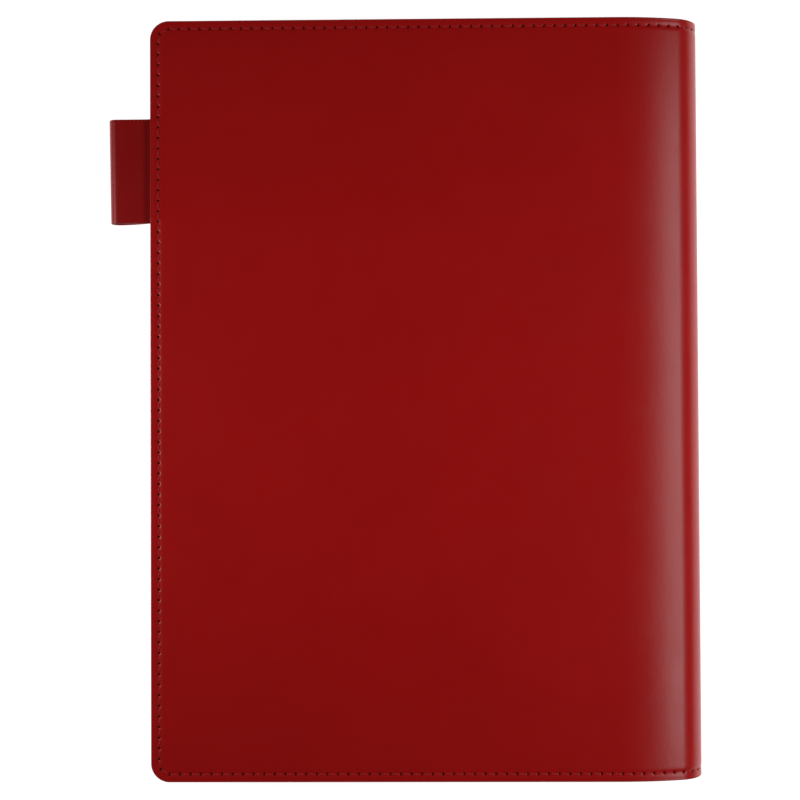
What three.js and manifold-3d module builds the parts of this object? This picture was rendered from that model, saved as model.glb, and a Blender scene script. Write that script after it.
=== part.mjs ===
// Leather cover for an A5 notebook. Two stiffened cover halves are joined by a soft rounded spine.
// Each half has an inner sleeve that takes one board of the notebook, the front half carries three
// card pockets, and a pen loop is caught in the back half's fore-edge seam.
//
// Millimetres, +Z up. The cover lies closed on its front half: +X points to the spine, +Y to the
// head, and the origin is at the middle of the bottom of the bounding box.
//
// The leather of the spine bends, so it is cut into strips that turn about hinge lines. The back
// half and the strips are placed where they lie when the cover is closed.
import * as THREE from "three";
import { mergeVertices } from "three/addons/utils/BufferGeometryUtils.js";
import Module from "manifold-3d";

const wasm = await Module();
wasm.setup();

// ---------------------------------------------------------------- driving dimensions

const DEGREE = Math.PI / 180;
const HEIGHT = 224; // head to tail
const PANEL_LENGTH = 137.3; // fore-edge to the start of the shoulder, on the flat
const CORNER_RADIUS = 5.5; // the two fore-edge corners of each half

const SHOULDER_RADIUS = 69; // gentle bend between a flat half and the spine
const SHOULDER_TURN = 15 * DEGREE;
const NOSE_RADIUS = 10; // tight bend of the spine, on the outside
const CLOSED_WEDGE = 2.4 * DEGREE; // angle between the closed halves, which lie wider at the spine
const STRIP_COUNT = 2;

const LEATHER = 1.2; // thickness of the outer leather
const PLY_GAP = 0.05; // between plies that are glued or sewn together
const BOARD = 0.6;
const LINING = 0.4;
const SLEEVE_LEATHER = 0.8;
const SLEEVE_ROOM = 1.1; // for the notebook's board, between lining and sleeve

const SEAM_INSET = 2.4; // seam line to cut edge
const THREAD_WIDTH = 0.5;
const THREAD_THICKNESS = 0.25;
const GROOVE_WIDTH = 0.7;
const GROOVE_DEPTH = 0.35;

const FRONT_SLEEVE_WIDTH = 108; // wide enough for a card and its seams
const BACK_SLEEVE_WIDTH = 88;
const SEWN_MARGIN = 6; // flat border of a sleeve, where it is sewn down
const BOARD_INSET = 7.6; // the board stays inside the seam and the sewn margin
const BOARD_SETBACK = 2; // from the board's end to the start of the shoulder
const BOARD_CLEARANCE = 0.2; // round the board's edge, under the lining
const LINING_OVERLAP = 0.5; // between the lining's flat stretch and its bent one

const CARD_POCKET_PLACES = ["rear", "middle", "fore"];
const CARD_POCKET_WIDTH = 96;
const CARD_POCKET_HEIGHT = 62; // of the lowest pocket, which lies in front
const CARD_POCKET_STEP = 20; // each pocket behind stands this much higher
const CARD_POCKET_LEATHER = 0.7;
const CARD_POCKET_RIM = 4; // sewn border
const CARD_POCKET_INSET = 0.5; // from the sleeve's raised edge
const CARD_ROOM = 0.3;

const LOOP_WIDTH = 30.9; // along the fore-edge
const LOOP_CENTRE_Y = 67.7;
const LOOP_REACH = 12.4; // fore-edge to the outside of the loop
const LOOP_THICKNESS = 4.8; // an empty loop lies almost flat
const LOOP_LEATHER = 1;
const LOOP_NECK = 0.8; // the loop flexes in this gap outside the fore-edge
const LOOP_JOIN = 1.6; // from the neck to the hole, where both legs lie together
const LOOP_LEG_SWING = 1; // the lower leg leaves the neck steeply, this far out for that drop,
const LOOP_LEG_DROP = 1.9;
const LOOP_LEG_RUN = 3.7; // and comes level this far before the round end
const TAB_LENGTH = 6; // the loop's ends, pared thin where they are sewn in
const TAB_THICKNESS = 0.6;
const TAB_CLEARANCE = 0.3;

// ---------------------------------------------------------------- derived dimensions

// Depths run inwards from the outside of the leather.
const LINING_TOP = LEATHER + PLY_GAP;
const BOARD_TOP = LINING_TOP + PLY_GAP;
const BOARD_ROOM = BOARD + 2 * PLY_GAP;
const BOARD_END = PANEL_LENGTH - BOARD_SETBACK;
const LINING_FACE = LINING_TOP + BOARD_ROOM + LINING;
const SLEEVE_TOP = LINING_TOP + LINING + PLY_GAP;
const SLEEVE_HEIGHT = LINING_FACE + SLEEVE_ROOM - SLEEVE_TOP;
const MARGIN_FACE = SLEEVE_TOP + SLEEVE_LEATHER;
const SLEEVE_FACE = MARGIN_FACE + SLEEVE_HEIGHT;
const THREAD_TOP = (GROOVE_DEPTH - THREAD_THICKNESS) / 2;
const SEAM_Y = HEIGHT / 2 - SEAM_INSET;

// The spine turns through a half circle plus the wedge, less what the two shoulders turn. Laid open,
// its hinge lines take back all of that turn between them.
const HINGE_COUNT = STRIP_COUNT + 1;
const TOTAL_TURN = Math.PI + CLOSED_WEDGE;
const STRIP_TURN = (TOTAL_TURN - 2 * SHOULDER_TURN) / HINGE_COUNT;
const HALF_OPENING = TOTAL_TURN / HINGE_COUNT / 2;
const HINGE_CLEARANCE = 0.05;
const GROOVE_OVERRUN = 2 * DEGREE; // the groove in a strip runs out through both its ends

// Outlines in X and depth start here, where turning inwards is turning left.
const DOWN = -Math.PI / 2;
const noseCentre = new THREE.Vector2(
  PANEL_LENGTH + (SHOULDER_RADIUS - NOSE_RADIUS) * Math.sin(SHOULDER_TURN),
  SHOULDER_RADIUS - (SHOULDER_RADIUS - NOSE_RADIUS) * Math.cos(SHOULDER_TURN),
);

// Which way the depth of a half runs along Z: up in the front half, which lies below.
const FRONT = 1;
const BACK = -1;

const OVERCUT = 1; // how far a cutting solid runs past what it cuts
const BEYOND = 200; // past the spine, for outlines that the spine's section cuts off
const MERGE_DISTANCE = 1e-4;
const OUTLINE_STEPS = 4; // half the number of straight pieces in each arc of a flat outline
const SECTION_STEPS = 3; // and in each arc of a section

// ---------------------------------------------------------------- materials

const coverLeather = new THREE.MeshStandardMaterial({ color: 0x8a1010, roughness: 0.45, metalness: 0 });
const sleeveLeather = new THREE.MeshStandardMaterial({ color: 0x841012, roughness: 0.5, metalness: 0 });
const liningCloth = new THREE.MeshStandardMaterial({ color: 0x6c1216, roughness: 0.9, metalness: 0 });
const redThread = new THREE.MeshStandardMaterial({ color: 0x9a2424, roughness: 0.7, metalness: 0 });
const greyBoard = new THREE.MeshStandardMaterial({ color: 0x8f8b84, roughness: 0.95, metalness: 0 });

// ---------------------------------------------------------------- solids

function solidOf(geometry) {
  const bare = new THREE.BufferGeometry().setAttribute("position", geometry.getAttribute("position"));
  const merged = mergeVertices(bare, MERGE_DISTANCE);
  return new wasm.Manifold(
    new wasm.Mesh({
      numProp: 3,
      vertProperties: merged.attributes.position.array,
      triVerts: new Uint32Array(merged.index.array),
    }),
  );
}

function meshOf(name, material, solid) {
  const { vertProperties, triVerts } = solid.getMesh();
  const geometry = new THREE.BufferGeometry()
    .setAttribute("position", new THREE.BufferAttribute(vertProperties, 3))
    .setIndex(new THREE.BufferAttribute(triVerts, 1));
  geometry.computeVertexNormals();
  const mesh = new THREE.Mesh(geometry, material);
  mesh.name = name;
  return mesh;
}

// A flat outline in X and Y, from one depth to another.
function plate(side, outline, depth0, depth1) {
  const geometry = new THREE.ExtrudeGeometry(outline, {
    depth: depth1 - depth0,
    bevelEnabled: false,
    curveSegments: OUTLINE_STEPS,
  });
  return solidOf(geometry.translate(0, 0, side === FRONT ? depth0 : -depth1));
}

// An outline in X and Y, cut right through a half.
function column(outline) {
  const geometry = new THREE.ExtrudeGeometry(outline, {
    depth: 2 * BEYOND,
    bevelEnabled: false,
    curveSegments: OUTLINE_STEPS,
  });
  return solidOf(geometry.translate(0, 0, -BEYOND));
}

// An outline in X and depth, drawn out along Y and centred on centreY.
function drawnOut(side, outline, width, centreY = 0) {
  const geometry = new THREE.ExtrudeGeometry(outline, {
    depth: width,
    bevelEnabled: false,
    curveSegments: SECTION_STEPS,
  });
  geometry.translate(0, 0, -width / 2).rotateX((side * Math.PI) / 2).translate(0, centreY, 0);
  return solidOf(geometry);
}

// ---------------------------------------------------------------- outlines

function rectangle(x0, y0, x1, y1) {
  return new THREE.Shape([
    new THREE.Vector2(x0, y0),
    new THREE.Vector2(x1, y0),
    new THREE.Vector2(x1, y1),
    new THREE.Vector2(x0, y1),
  ]);
}

// A half's outline from the fore-edge up to length, moved in by inset on three sides.
function halfOutline(inset, length) {
  const radius = Math.max(CORNER_RADIUS - inset, 0.5);
  const edge = HEIGHT / 2 - inset;
  const outline = new THREE.Shape();
  outline.moveTo(length, -edge);
  outline.lineTo(length, edge);
  outline.absarc(inset + radius, edge - radius, radius, Math.PI / 2, Math.PI, false);
  outline.absarc(inset + radius, radius - edge, radius, Math.PI, 1.5 * Math.PI, false);
  outline.closePath();
  return outline;
}

// A band of this width round the head, fore-edge and tail, centred on the seam line.
function seamBand(width, length) {
  const outer = SEAM_INSET - width / 2;
  const inner = SEAM_INSET + width / 2;
  const centreX = CORNER_RADIUS;
  const centreY = HEIGHT / 2 - CORNER_RADIUS;
  const outline = new THREE.Shape();
  outline.moveTo(length, HEIGHT / 2 - inner);
  outline.lineTo(length, HEIGHT / 2 - outer);
  outline.absarc(centreX, centreY, CORNER_RADIUS - outer, Math.PI / 2, Math.PI, false);
  outline.absarc(centreX, -centreY, CORNER_RADIUS - outer, Math.PI, 1.5 * Math.PI, false);
  outline.lineTo(length, outer - HEIGHT / 2);
  outline.lineTo(length, inner - HEIGHT / 2);
  outline.absarc(centreX, -centreY, CORNER_RADIUS - inner, 1.5 * Math.PI, Math.PI, true);
  outline.absarc(centreX, centreY, CORNER_RADIUS - inner, Math.PI, Math.PI / 2, true);
  outline.closePath();
  return outline;
}

// The angle round the nose between a hinge line and a ply's end face at this depth. The hinge lines
// lie on the flesh side of the leather. Outside them the end faces lean back, so that two of them
// close up when the spine is laid flat.
function endAngle(depth) {
  const outside = Math.max(LEATHER - depth, 0);
  return (outside * Math.tan(HALF_OPENING) + HINGE_CLEARANCE) / (NOSE_RADIUS - depth);
}

// The section of one ply of a half: from startX on the flat, round the shoulder, and on to the
// first hinge line of the nose.
function halfSection(startX, depth0, depth1) {
  const shoulderEnd = DOWN + SHOULDER_TURN;
  const noseEnd = shoulderEnd + STRIP_TURN / 2;
  const { x, y } = noseCentre;
  const outline = new THREE.Shape();
  outline.moveTo(startX, depth1);
  outline.lineTo(startX, depth0);
  outline.absarc(PANEL_LENGTH, SHOULDER_RADIUS, SHOULDER_RADIUS - depth0, DOWN, shoulderEnd, false);
  outline.absarc(x, y, NOSE_RADIUS - depth0, shoulderEnd, noseEnd - endAngle(depth0), false);
  outline.absarc(x, y, NOSE_RADIUS - depth1, noseEnd - endAngle(depth1), shoulderEnd, true);
  outline.absarc(PANEL_LENGTH, SHOULDER_RADIUS, SHOULDER_RADIUS - depth1, shoulderEnd, DOWN, true);
  outline.closePath();
  return outline;
}

// The section of one ply of a spine strip, run on by extra at each end. Strip 1 is next to the
// front half.
function stripSection(number, depth0, depth1, extra = 0) {
  const start = DOWN + SHOULDER_TURN + (number - 0.5) * STRIP_TURN - extra;
  const end = start + STRIP_TURN + 2 * extra;
  const { x, y } = noseCentre;
  const outline = new THREE.Shape();
  outline.absarc(x, y, NOSE_RADIUS - depth0, start + endAngle(depth0), end - endAngle(depth0), false);
  outline.absarc(x, y, NOSE_RADIUS - depth1, end - endAngle(depth1), start + endAngle(depth1), true);
  outline.closePath();
  return outline;
}

// The pen loop's section in X and depth: a flat leg level with the tab, a round end, and a leg that
// comes back up to the neck. The hole follows one leather thickness inside.
function loopSection() {
  const top = LINING_TOP;
  const bottom = top + LOOP_THICKNESS;
  const radius = LOOP_THICKNESS / 2;
  const endX = radius - LOOP_REACH;
  const levelX = endX + LOOP_LEG_RUN;
  const neckX = -LOOP_NECK;
  const neckBottom = top + LOOP_LEATHER;
  const outline = new THREE.Shape();
  outline.moveTo(neckX, top);
  outline.lineTo(neckX, neckBottom);
  outline.bezierCurveTo(neckX - LOOP_LEG_SWING, neckBottom + LOOP_LEG_DROP, levelX, bottom, endX, bottom);
  outline.absarc(endX, top + radius, radius, Math.PI / 2, 1.5 * Math.PI, false);
  outline.closePath();

  const holeTop = top + LOOP_LEATHER;
  const holeBottom = bottom - LOOP_LEATHER;
  const holeX = neckX - LOOP_JOIN;
  const hole = new THREE.Path();
  hole.moveTo(holeX, holeTop);
  hole.lineTo(endX, holeTop);
  hole.absarc(endX, top + radius, radius - LOOP_LEATHER, 1.5 * Math.PI, Math.PI / 2, true);
  hole.bezierCurveTo(levelX, holeBottom, holeX - LOOP_LEG_SWING, holeTop + LOOP_LEG_DROP, holeX, holeTop);
  outline.holes.push(hole);
  return outline;
}

// ---------------------------------------------------------------- pieces of one half

// A seam sits in a groove round three sides. On the outside it follows the shoulder as well.
function outerSeam(side) {
  const followed = (width, depth0, depth1) =>
    column(seamBand(width, BEYOND)).intersect(
      drawnOut(side, halfSection(-OVERCUT, depth0, depth1), HEIGHT),
    );
  return {
    groove: followed(GROOVE_WIDTH, -OVERCUT / 2, GROOVE_DEPTH),
    thread: followed(THREAD_WIDTH, THREAD_TOP, THREAD_TOP + THREAD_THICKNESS),
  };
}

function innerSeam(side, length) {
  const threadFace = MARGIN_FACE - THREAD_TOP;
  const grooveBottom = MARGIN_FACE - GROOVE_DEPTH;
  return {
    groove: plate(side, seamBand(GROOVE_WIDTH, length + OVERCUT), grooveBottom, MARGIN_FACE + OVERCUT),
    thread: plate(side, seamBand(THREAD_WIDTH, length - OVERCUT), threadFace - THREAD_THICKNESS, threadFace),
  };
}

function outerLeather(side) {
  const sheet = drawnOut(side, halfSection(-OVERCUT, 0, LEATHER), HEIGHT + 2 * OVERCUT);
  return sheet.intersect(column(halfOutline(0, BEYOND)));
}

function stiffenerBoard(side) {
  return plate(side, halfOutline(BOARD_INSET, BOARD_END), BOARD_TOP, BOARD_TOP + BOARD);
}

// A sheet whose border lies flat at depth top and whose middle stands clear of what is under it.
// Where the room outline runs past the raised outline, the sheet has an open mouth.
function raisedSheet(side, outline, raised, room, top, height, thickness) {
  const border = plate(side, outline, top, top + thickness);
  const crown = plate(side, raised, top, top + height + thickness);
  return border.add(crown).subtract(plate(side, room, top - OVERCUT, top + height));
}

// The lining steps over the board and runs on round the shoulder.
function lining(side) {
  const roomInset = BOARD_INSET - BOARD_CLEARANCE;
  const roomEnd = BOARD_END + BOARD_CLEARANCE;
  const room = halfOutline(roomInset, roomEnd);
  const raised = halfOutline(roomInset - LINING, roomEnd + LINING);
  const flat = halfOutline(0, PANEL_LENGTH);
  const bent = halfSection(PANEL_LENGTH - LINING_OVERLAP, LINING_TOP, LINING_TOP + LINING);
  const onward = drawnOut(side, bent, HEIGHT);
  return raisedSheet(side, flat, raised, room, LINING_TOP, BOARD_ROOM, LINING).add(onward);
}

function sleevePanel(side, width) {
  const raised = halfOutline(SEWN_MARGIN, width);
  const room = halfOutline(SEWN_MARGIN + SLEEVE_LEATHER, width + OVERCUT);
  return raisedSheet(side, halfOutline(0, width), raised, room, SLEEVE_TOP, SLEEVE_HEIGHT, SLEEVE_LEATHER);
}

// The card pockets overlap like steps. Pocket 0 lies rearmost and stands tallest, and each is open
// at its top edge.
function cardPocket(index) {
  const left = SEWN_MARGIN + CARD_POCKET_INSET;
  const right = left + CARD_POCKET_WIDTH;
  const low = SEWN_MARGIN + CARD_POCKET_INSET - HEIGHT / 2;
  const pocketsInFront = CARD_POCKET_PLACES.length - 1 - index;
  const high = low + CARD_POCKET_HEIGHT + pocketsInFront * CARD_POCKET_STEP;
  const top = SLEEVE_FACE + PLY_GAP + index * (CARD_ROOM + CARD_POCKET_LEATHER + PLY_GAP);
  const rim = CARD_POCKET_RIM;
  const room = rectangle(left + rim, low + rim, right - rim, high + OVERCUT);
  const sheet = rectangle(left, low, right, high);
  return raisedSheet(FRONT, sheet, sheet, room, top, CARD_ROOM, CARD_POCKET_LEATHER);
}

// ---------------------------------------------------------------- pen loop

// The loop's ends, seen from the back half: its recess in the lining and the sleeve is a little
// larger all round.
function tabPlate(clearance, depthClearance) {
  const low = LOOP_CENTRE_Y - LOOP_WIDTH / 2 - clearance;
  const high = LOOP_CENTRE_Y + LOOP_WIDTH / 2 + clearance;
  const startX = clearance > 0 ? -OVERCUT : 0;
  const outline = rectangle(startX, low, TAB_LENGTH + clearance, high);
  const top = BOARD_TOP;
  return plate(BACK, outline, top - depthClearance, top + TAB_THICKNESS + depthClearance);
}

// ---------------------------------------------------------------- assembly

function halfMeshes(name, side, sleeveWidth, recess) {
  const outer = outerSeam(side);
  const inner = innerSeam(side, sleeveWidth);
  const notched = (solid) => (recess ? solid.subtract(recess) : solid);
  const leather = outerLeather(side).subtract(outer.groove);
  const sleeve = sleevePanel(side, sleeveWidth).subtract(inner.groove);
  return [
    meshOf(`${name}_cover_leather`, coverLeather, leather),
    meshOf(`${name}_stiffener_board`, greyBoard, stiffenerBoard(side)),
    meshOf(`${name}_lining`, liningCloth, notched(lining(side))),
    meshOf(`${name}_sleeve_panel`, sleeveLeather, notched(sleeve)),
    meshOf(`${name}_outer_seam_thread`, redThread, outer.thread),
    meshOf(`${name}_inner_seam_thread`, redThread, inner.thread),
  ];
}

function frontHalf() {
  const half = new THREE.Group();
  half.add(...halfMeshes("front", FRONT, FRONT_SLEEVE_WIDTH, null));
  CARD_POCKET_PLACES.forEach((place, index) => {
    half.add(meshOf(`card_pocket_${place}`, sleeveLeather, cardPocket(index)));
  });
  return half;
}

// The back half is modelled with its outside at depth 0 facing up. Turned by the wedge and moved,
// its nose centre falls on the front half's.
function backHalf() {
  const half = new THREE.Group();
  const recess = tabPlate(TAB_CLEARANCE, PLY_GAP);
  const loop = drawnOut(BACK, loopSection(), LOOP_WIDTH, LOOP_CENTRE_Y);
  half.add(...halfMeshes("back", BACK, BACK_SLEEVE_WIDTH, recess));
  half.add(meshOf("pen_loop_tab", coverLeather, tabPlate(0, 0)));
  half.add(meshOf("pen_loop", coverLeather, loop));

  half.rotation.y = -CLOSED_WEDGE;
  const turned = new THREE.Vector3(noseCentre.x, 0, -noseCentre.y).applyEuler(half.rotation);
  half.position.set(noseCentre.x - turned.x, 0, noseCentre.y - turned.z);
  return half;
}

// One strip's leather and lining, and the seam thread over it at the head and at the tail.
function spineStrip(number) {
  const strip = new THREE.Group();
  const linedSection = stripSection(number, LINING_TOP, LINING_TOP + LINING);
  const threadSection = stripSection(number, THREAD_TOP, THREAD_TOP + THREAD_THICKNESS);
  const grooveSection = stripSection(number, -OVERCUT / 2, GROOVE_DEPTH, GROOVE_OVERRUN);
  let leather = drawnOut(FRONT, stripSection(number, 0, LEATHER), HEIGHT);
  for (const [end, seamY] of [["head", SEAM_Y], ["tail", -SEAM_Y]]) {
    leather = leather.subtract(drawnOut(FRONT, grooveSection, GROOVE_WIDTH, seamY));
    const thread = drawnOut(FRONT, threadSection, THREAD_WIDTH, seamY);
    strip.add(meshOf(`spine_${end}_thread_${number}`, redThread, thread));
  }
  strip.add(meshOf(`spine_leather_${number}`, coverLeather, leather));
  strip.add(meshOf(`spine_lining_${number}`, liningCloth, drawnOut(FRONT, linedSection, HEIGHT)));
  return strip;
}

const cover = new THREE.Group();
cover.name = "notebook_cover";
cover.add(frontHalf());
for (let number = 1; number <= STRIP_COUNT; number++) {
  cover.add(spineStrip(number));
}
cover.add(backHalf());

cover.updateMatrixWorld(true);
const bounds = new THREE.Box3().setFromObject(cover, true);
cover.position.set(-(bounds.min.x + bounds.max.x) / 2, 0, -bounds.min.z);

export default cover;
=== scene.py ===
"""A red leather cover for an A5 notebook, closed, seen from straight above its back half.

The cover's plies are built in mesh code from one description of its section. A point of a ply is
(along, across, depth) in millimetres: along the outside of the leather from a fore-edge, across
from the middle towards the head, and depth inwards from the outside.
"""
import math

import bmesh
import bpy
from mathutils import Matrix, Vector


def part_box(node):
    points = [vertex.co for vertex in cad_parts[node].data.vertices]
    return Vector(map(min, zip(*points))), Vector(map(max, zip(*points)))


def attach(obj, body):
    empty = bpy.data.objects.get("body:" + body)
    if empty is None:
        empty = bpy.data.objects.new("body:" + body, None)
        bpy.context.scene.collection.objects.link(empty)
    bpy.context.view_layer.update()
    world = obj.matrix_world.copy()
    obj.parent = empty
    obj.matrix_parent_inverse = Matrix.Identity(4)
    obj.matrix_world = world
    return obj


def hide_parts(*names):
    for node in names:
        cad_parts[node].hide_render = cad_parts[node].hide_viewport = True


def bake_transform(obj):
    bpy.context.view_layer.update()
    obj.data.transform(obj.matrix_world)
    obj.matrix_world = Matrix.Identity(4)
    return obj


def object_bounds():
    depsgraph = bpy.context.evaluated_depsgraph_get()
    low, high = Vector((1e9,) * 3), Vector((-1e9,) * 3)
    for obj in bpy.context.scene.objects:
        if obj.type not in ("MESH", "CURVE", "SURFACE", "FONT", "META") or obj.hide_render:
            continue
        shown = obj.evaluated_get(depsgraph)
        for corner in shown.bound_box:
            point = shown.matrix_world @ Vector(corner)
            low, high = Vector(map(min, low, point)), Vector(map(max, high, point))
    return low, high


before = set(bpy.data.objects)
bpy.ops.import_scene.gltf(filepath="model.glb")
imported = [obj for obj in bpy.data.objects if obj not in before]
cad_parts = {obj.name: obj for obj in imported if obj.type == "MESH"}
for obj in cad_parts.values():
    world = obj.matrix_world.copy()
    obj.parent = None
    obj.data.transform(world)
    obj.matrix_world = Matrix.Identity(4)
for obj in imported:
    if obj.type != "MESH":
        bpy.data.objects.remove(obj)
cad_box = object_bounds()

MM = 0.001

# ---------------------------------------------------------------- sizes, in millimetres

SHOULDER_RADIUS = 69
SHOULDER_TURN = math.radians(15)
NOSE_RADIUS = 10
CLOSED_WEDGE = math.radians(2.4)
HINGE_COUNT = 3
PANEL_LENGTH = 137.3
CORNER = 5.5
LEATHER = 1.2

LINING_TOP = 1.25
LINING = 0.4
LINING_FACE = 2.35
LINING_LEAD = 0.7  # the cloth starts to rise this far outside the board's edge
LINING_RUN = 1.5
LINING_CHAMFER = 0.08
LINING_PITCH = 12.0  # long, for stations wide apart, as the seam isn't drawn into the cloth
BOARD_INSET = 7
BOARD_END = PANEL_LENGTH - 1.6

SLEEVE_TOP = 1.7
SLEEVE_LEATHER = 0.8
SLEEVE_FACE = 4.25
SLEEVE_RISE = SLEEVE_FACE - SLEEVE_TOP - SLEEVE_LEATHER
MARGIN_FACE = SLEEVE_TOP + SLEEVE_LEATHER
MARGIN_END = 5.6  # where the sleeve starts to rise over the notebook's board
RISE_RUN = 2.2
HEM = 3.5  # from a mouth to the crease along it
MOUTH_STEPS = (0.05, 0.12, 0.2, 0.32, 2.8, 3.2, 3.35, HEM, 3.65, 3.8, 4.2)
MOUTH_ROUND = 0.4  # as a share of the leather's thickness
SLEEVE_CREASE_DEPTH = 0.1

FACE_INSET = 5.2  # the outer leather's face is flat further in than this
FLESH_INSET = 1.6  # and so is its flesh side further in than this
EDGE_ROUND = 0.4  # outside corner of the outer leather's cut edge
FLESH_ROUND = 0.2  # its inside corner, and those of the other plies
SLEEVE_EDGE_ROUND = 0.25
CARD_EDGE_ROUND = 0.3

SEAM_INSET = 2.4
SEAM_REACH = 1.7  # how far to each side of a seam its rows go
STITCHES_TO_MID_SPINE = 53
STITCHES_ON_FORE_EDGE = 72
STATIONS_PER_STITCH = 10
HOLE_DEPTH = 0.3
HOLE_SPREAD = 0.3
# The next size is the width of the painted shade at each needle hole, along and across the seam.
HOLE_SHADE_SIZE = 0.43
SEAM_SINK = 0.16
SEAM_SPREAD = 0.75
EDGE_DROOP = 0.08  # the face falls off a little towards its cut edge
EDGE_DROOP_SPREAD = 1.0
SPINE_THREAD_SINK = 0.16

STITCH_RADIUS = 0.2
STITCH_FLATNESS = 0.75
STITCH_TIP = 0.6  # the radius where a stitch goes in, as a share of its middle's
STITCH_SLANT = 0.16
STITCH_RISE = 0.08
STITCH_DIVE = 0.5
STITCH_MARGIN = 0.16
STITCH_SIDES = 8
STITCH_STEPS = 9

CARD_CORNER = 3
CARD_RIM = 4
CARD_ROOM = 0.3
CARD_ROOM_RUN = 0.8
CARD_SEAM_INSET = 1.9
CARD_SEAM_REACH = 1.4
CARD_SEAM_SHARE = 0.6  # a pocket's seam is drawn in less deeply than the outer one

LOOP_REACH = 12.4
LOOP_THICKNESS = 4.8
LOOP_LEATHER = 1.0
LOOP_PLY = 0.3
LOOP_TAB = 6
LOOP_TAB_TOP = 1.3
LOOP_NECK_RUN = 1.4  # over which the pared strap grows to its full thickness
LOOP_SIDE_ROUND = 0.35
LOOP_SKEW = 0.25  # the loop stands out this much more at its head end
LOOP_LIFT = 0.35  # the strap's ends raise the leather over them
LIFT_MARGIN = 1.0  # how far past the strap's sides the raised part reaches
LIFT_SIDE_RUN = 2.5  # over which it grows from its sides
LIFT_END = 1.5  # how far in from the fore-edge it keeps its full height
LIFT_END_RUN = 3
CREASE_INSET = 1.1
LOOP_CREASE_DEPTH = 0.22

CREASED_EDGE = math.radians(50)  # faces that meet more sharply than this are shaded apart
SAME_PLACE = 0.05  # stations closer than this count as one
TINY = 1e-6

# ---------------------------------------------------------------- worked out from those and the frame

HEIGHT = (cad_box[1].y - cad_box[0].y) / MM
HALF_HEIGHT = HEIGHT / 2
FORE_EDGE_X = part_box("front_cover_leather")[0].x / MM

TOTAL_TURN = math.pi + CLOSED_WEDGE
STRIP_TURN = (TOTAL_TURN - 2 * SHOULDER_TURN) / HINGE_COUNT
NOSE_START = PANEL_LENGTH + SHOULDER_RADIUS * SHOULDER_TURN
STRIP_LENGTH = NOSE_RADIUS * STRIP_TURN
GIRTH = 2 * NOSE_START + HINGE_COUNT * STRIP_LENGTH
NOSE_X = PANEL_LENGTH + (SHOULDER_RADIUS - NOSE_RADIUS) * math.sin(SHOULDER_TURN)
NOSE_Z = SHOULDER_RADIUS - (SHOULDER_RADIUS - NOSE_RADIUS) * math.cos(SHOULDER_TURN)

SEAM_CORNER = CORNER - SEAM_INSET
CORNER_LENGTH = SEAM_CORNER * math.pi / 2
FORE_EDGE_SEAM = 2 * (HALF_HEIGHT - CORNER) + 2 * CORNER_LENGTH
PITCH = (GIRTH / 2 - CORNER) / STITCHES_TO_MID_SPINE
FORE_EDGE_PITCH = FORE_EDGE_SEAM / STITCHES_ON_FORE_EDGE

loop_low, loop_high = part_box("pen_loop")
LOOP_MIDDLE = (loop_low.y + loop_high.y) / 2 / MM
LOOP_WIDTH = (loop_high.y - loop_low.y) / MM


def smooth(share):
    share = min(max(share, 0.0), 1.0)
    return share * share * (3 - 2 * share)


def bell(distance, spread):
    return math.exp(-((distance / spread) ** 2))


# ---------------------------------------------------------------- where a point of a ply lies


def section(along, depth):
    """X and Z of a point on the front half's section, on round the spine, from the front's fore-edge."""
    shoulder = (along - PANEL_LENGTH) / SHOULDER_RADIUS
    if shoulder <= 0:
        return along, depth
    if shoulder <= SHOULDER_TURN:
        radius = SHOULDER_RADIUS - depth
        return PANEL_LENGTH + radius * math.sin(shoulder), SHOULDER_RADIUS - radius * math.cos(shoulder)
    turn = SHOULDER_TURN + (along - NOSE_START) / NOSE_RADIUS
    radius = NOSE_RADIUS - depth
    return NOSE_X + radius * math.sin(turn), NOSE_Z - radius * math.cos(turn)


def front(along, across, depth):
    x, z = section(along, depth)
    return Vector(((x + FORE_EDGE_X) * MM, across * MM, z * MM))


def back(along, across, depth):
    """The same for the back half: turned over about the nose centre and closed to the wedge."""
    x, z = section(along, depth)
    dx, dz = x - NOSE_X, NOSE_Z - z
    cos, sin = math.cos(CLOSED_WEDGE), math.sin(CLOSED_WEDGE)
    turned_x = dx * cos - dz * sin
    turned_z = dx * sin + dz * cos
    return Vector(((NOSE_X + turned_x + FORE_EDGE_X) * MM, across * MM, (NOSE_Z + turned_z) * MM))


def strip_middle(number, depth):
    """A point in the middle of spine strip number, where 0 is the front half and the last the back."""
    return front(NOSE_START + number * STRIP_LENGTH, 0, depth)


# ---------------------------------------------------------------- mesh building


class Skin:
    """A mesh under construction. Points that fall together become one vertex."""

    def __init__(self, place, chart):
        self.mesh = bmesh.new()
        self.place = place
        self.chart = chart
        self.uv = self.mesh.loops.layers.uv.new("UVMap")
        self.found = {}
        self.charted = {}

    def vertex(self, along, across, depth):
        at = self.place(along, across, depth)
        key = tuple(round(value / MM, 4) for value in at)
        if key not in self.found:
            self.found[key] = self.mesh.verts.new(at)
            self.charted[self.found[key]] = self.chart(along, across)
        return self.found[key]

    def face(self, ring, material=0):
        corners = []
        for vertex in ring:
            if vertex not in corners:
                corners.append(vertex)
        if len(corners) < 3 or self.mesh.faces.get(corners):
            return
        face = self.mesh.faces.new(corners)
        face.smooth = True
        face.material_index = material
        for corner in face.loops:
            corner[self.uv].uv = self.charted[corner.vert]

    def finish(self, name, materials):
        bmesh.ops.recalc_face_normals(self.mesh, faces=self.mesh.faces)
        for edge in self.mesh.edges:
            edge.smooth = edge.calc_face_angle(0) < CREASED_EDGE
        data = bpy.data.meshes.new(name)
        self.mesh.to_mesh(data)
        self.mesh.free()
        piece = bpy.data.objects.new(name, data)
        bpy.context.scene.collection.objects.link(piece)
        for material in materials:
            data.materials.append(material)
        return piece


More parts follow.
